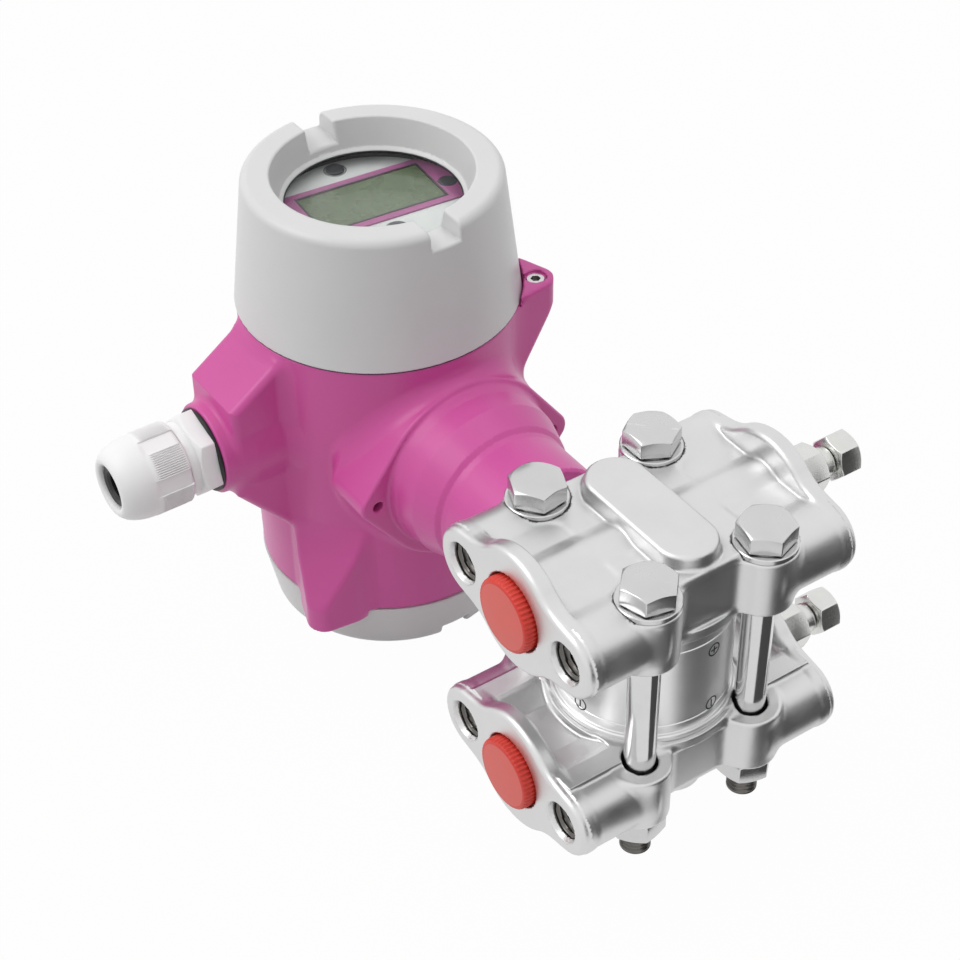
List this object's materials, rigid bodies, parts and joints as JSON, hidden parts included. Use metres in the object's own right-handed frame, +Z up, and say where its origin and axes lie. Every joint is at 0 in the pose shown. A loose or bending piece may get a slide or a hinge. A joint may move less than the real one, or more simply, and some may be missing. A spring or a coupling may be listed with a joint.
{
  "type": "pressure transmitter",
  "caption": "Differential pressure transmitter: magenta housing with display and grey screw covers on a steel sensor clamped between two process flanges",
  "frame": {"origin": "centre of the rectangle of four fixing holes in the front end faces of the two process flanges", "axes": "-Y points out of the front end faces with the ports, +X from the electronics housing to the sensor, +Z up along the housing axis with the display on top"},
  "size_m": [0.194, 0.1496, 0.1401],
  "materials": {
    "flange_steel": "satin cast stainless steel",
    "capsule_steel": "fine turned stainless steel",
    "bolt_steel": "bright stainless steel",
    "vent_steel": "machined stainless steel",
    "housing_paint": "semi-gloss magenta powder coat",
    "cover_paint": "semi-gloss light grey powder coat",
    "window_glass": "clear toughened glass",
    "ring_metal": "plain turned aluminium",
    "seal_rubber": "black nitrile rubber",
    "spring_steel": "plain spring steel",
    "screw_steel": "stainless steel",
    "gland_plastic": "white polyamide",
    "cap_plastic": "red polyethylene",
    "frame_plastic": "black moulded plastic",
    "plate_plastic": "light grey printed plastic",
    "bezel_plastic": "magenta printed plastic",
    "lcd_film": "olive liquid crystal panel",
    "button_plastic": "dark grey plastic",
    "terminal_metal": "nickel-washed brass"
  },
  "bodies": {
    "process_block": {"upper_flange": "flange_steel", "lower_flange": "flange_steel", "flange_bolts": "bolt_steel", "bolt_washers": "bolt_steel", "flange_nuts": "bolt_steel", "sensor_capsule": "capsule_steel", "upper_diaphragm": "capsule_steel", "lower_diaphragm": "capsule_steel", "upper_capsule_seal": "seal_rubber", "lower_capsule_seal": "seal_rubber", "sensor_stem": "capsule_steel", "stem_seal": "seal_rubber", "stem_retaining_ring": "spring_steel", "upper_vent_plug": "vent_steel", "lower_vent_plug": "vent_steel"},
    "housing": {"housing": "housing_paint", "housing_entry": "housing_paint", "housing_partition": "housing_paint", "housing_front_bay": "housing_paint", "housing_rear_bay": "housing_paint", "housing_neck": "housing_paint", "neck_set_screw": "screw_steel", "front_lock_screw": "screw_steel", "rear_lock_screw": "screw_steel", "earth_screws": "screw_steel", "front_cover_seal": "seal_rubber", "display_frame": "frame_plastic", "display_plate": "plate_plastic", "display_bezel": "bezel_plastic", "lcd_panel": "lcd_film", "electronics_module": "frame_plastic", "terminal_block": "frame_plastic", "terminal_screws": "terminal_metal", "entry_seal_ring": "seal_rubber", "gland_body": "gland_plastic"},
    "window": {"cover_window": "window_glass", "window_retainer": "ring_metal"},
    "display_cover": {"display_cover": "cover_paint"},
    "terminal_seal": {"terminal_cover_seal": "seal_rubber"},
    "terminal_cover": {"terminal_cover": "cover_paint"},
    "gland_insert": {"gland_insert": "seal_rubber"},
    "gland_nut": {"gland_nut": "gland_plastic"},
    "upper_vent_stem": {"upper_vent_stem": "vent_steel"},
    "lower_vent_stem": {"lower_vent_stem": "vent_steel"},
    "upper_port_cap": {"upper_port_cap": "cap_plastic"},
    "lower_port_cap": {"lower_port_cap": "cap_plastic"},
    "button_zero": {"button_zero": "button_plastic"},
    "button_span": {"button_span": "button_plastic"},
    "button_enter": {"button_enter": "button_plastic"}
  },
  "joints": [
    {"name": "housing_turn", "type": "hinge", "parent": "process_block", "child": "housing", "pos_m": [-0.05, 0.0402, 0], "axis": [1, 0, 0], "range_deg": [-180, 180]},
    {"name": "display_cover_lift", "type": "slide", "parent": "housing", "child": "window", "axis": [0, 0, 1], "range_m": [0, 0.008]},
    {"name": "display_cover_turn", "type": "hinge", "parent": "window", "child": "display_cover", "pos_m": [-0.1208, 0.0402, 0.05], "axis": [0, 0, 1], "range_deg": [0, 1440]},
    {"name": "terminal_cover_lift", "type": "slide", "parent": "housing", "child": "terminal_seal", "axis": [0, 0, -1], "range_m": [0, 0.008]},
    {"name": "terminal_cover_turn", "type": "hinge", "parent": "terminal_seal", "child": "terminal_cover", "pos_m": [-0.1208, 0.0402, -0.06], "axis": [0, 0, -1], "range_deg": [0, 1440]},
    {"name": "gland_nut_lift", "type": "slide", "parent": "housing", "child": "gland_insert", "axis": [0, -1, 0], "range_m": [0, 0.0045]},
    {"name": "gland_nut_turn", "type": "hinge", "parent": "gland_insert", "child": "gland_nut", "pos_m": [-0.1208, -0.035, 0.0037], "axis": [0, -1, 0], "range_deg": [0, 1080]},
    {"name": "upper_vent_turn", "type": "hinge", "parent": "process_block", "child": "upper_vent_stem", "pos_m": [0, 0.1, 0.027], "axis": [0, 1, 0], "range_deg": [0, 360]},
    {"name": "lower_vent_turn", "type": "hinge", "parent": "process_block", "child": "lower_vent_stem", "pos_m": [0, 0.1, -0.027], "axis": [0, 1, 0], "range_deg": [0, 360]},
    {"name": "upper_cap_pull", "type": "slide", "parent": "process_block", "child": "upper_port_cap", "axis": [0, -1, 0], "range_m": [0, 0.015]},
    {"name": "lower_cap_pull", "type": "slide", "parent": "process_block", "child": "lower_port_cap", "axis": [0, -1, 0], "range_m": [0, 0.015]},
    {"name": "button_zero_press", "type": "slide", "parent": "housing", "child": "button_zero", "axis": [0, 0, -1], "range_m": [0, 0.0008], "stiffness_N_per_m": 300, "springref_m": -0.0006},
    {"name": "button_span_press", "type": "slide", "parent": "housing", "child": "button_span", "axis": [0, 0, -1], "range_m": [0, 0.0008], "stiffness_N_per_m": 300, "springref_m": -0.0006},
    {"name": "button_enter_press", "type": "slide", "parent": "housing", "child": "button_enter", "axis": [0, 0, -1], "range_m": [0, 0.0008], "stiffness_N_per_m": 300, "springref_m": -0.0006}
  ],
  "couplings": [
    {"joint": "display_cover_lift", "follows": "display_cover_turn", "m_per_rad": 0.0003183},
    {"joint": "terminal_cover_lift", "follows": "terminal_cover_turn", "m_per_rad": 0.0003183},
    {"joint": "gland_nut_lift", "follows": "gland_nut_turn", "m_per_rad": 0.0002387}
  ]
}
